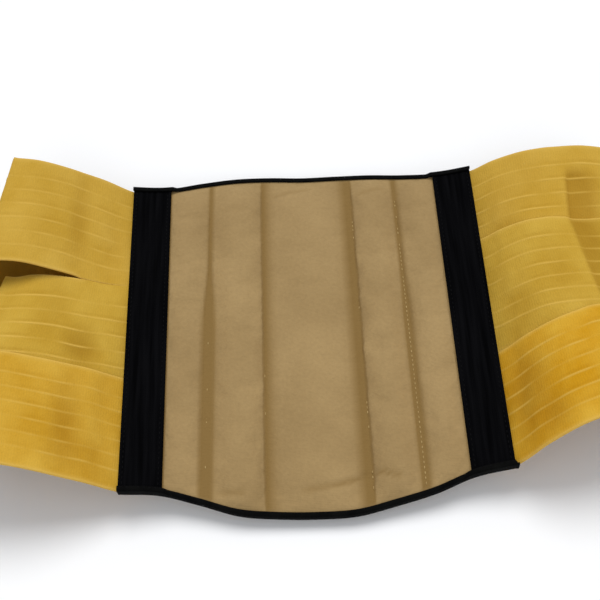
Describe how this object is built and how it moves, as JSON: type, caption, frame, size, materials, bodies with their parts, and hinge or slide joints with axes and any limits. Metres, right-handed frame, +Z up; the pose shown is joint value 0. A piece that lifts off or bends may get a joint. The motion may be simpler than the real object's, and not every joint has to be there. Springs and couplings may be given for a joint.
{
  "type": "back support belt",
  "caption": "Lumbar back support belt with a padded, channelled back panel and ribbed elastic wings, fastened to a loop and lying flattened.",
  "frame": {"origin": "middle of the underside of the belt's box, on the surface that it lies on", "axes": "+X along the belt from wing to wing, +Y towards the panel's upper edge, +Z up out of the surface"},
  "size_m": [0.4232, 0.247, 0.0598],
  "materials": {
    "tan_cloth": "brushed cotton twill, matt",
    "black_tape": "woven tape with a faint sheen",
    "black_binding": "woven binding, matt",
    "yellow_elastic": "ribbed woven elastic, satin",
    "closure_cloth": "brushed loop cloth, matt"
  },
  "bodies": {
    "root": {"back_panel": "tan_cloth", "top_binding": "black_binding", "bottom_binding": "black_binding", "side_tape_left": "black_tape", "side_tape_right": "black_tape", "elastic_left_upper": "yellow_elastic", "elastic_left_middle": "yellow_elastic", "elastic_left_lower": "yellow_elastic", "elastic_right_upper": "yellow_elastic", "elastic_right_middle": "yellow_elastic", "elastic_right_lower": "yellow_elastic", "closure_panel": "closure_cloth"}
  },
  "joints": []
}
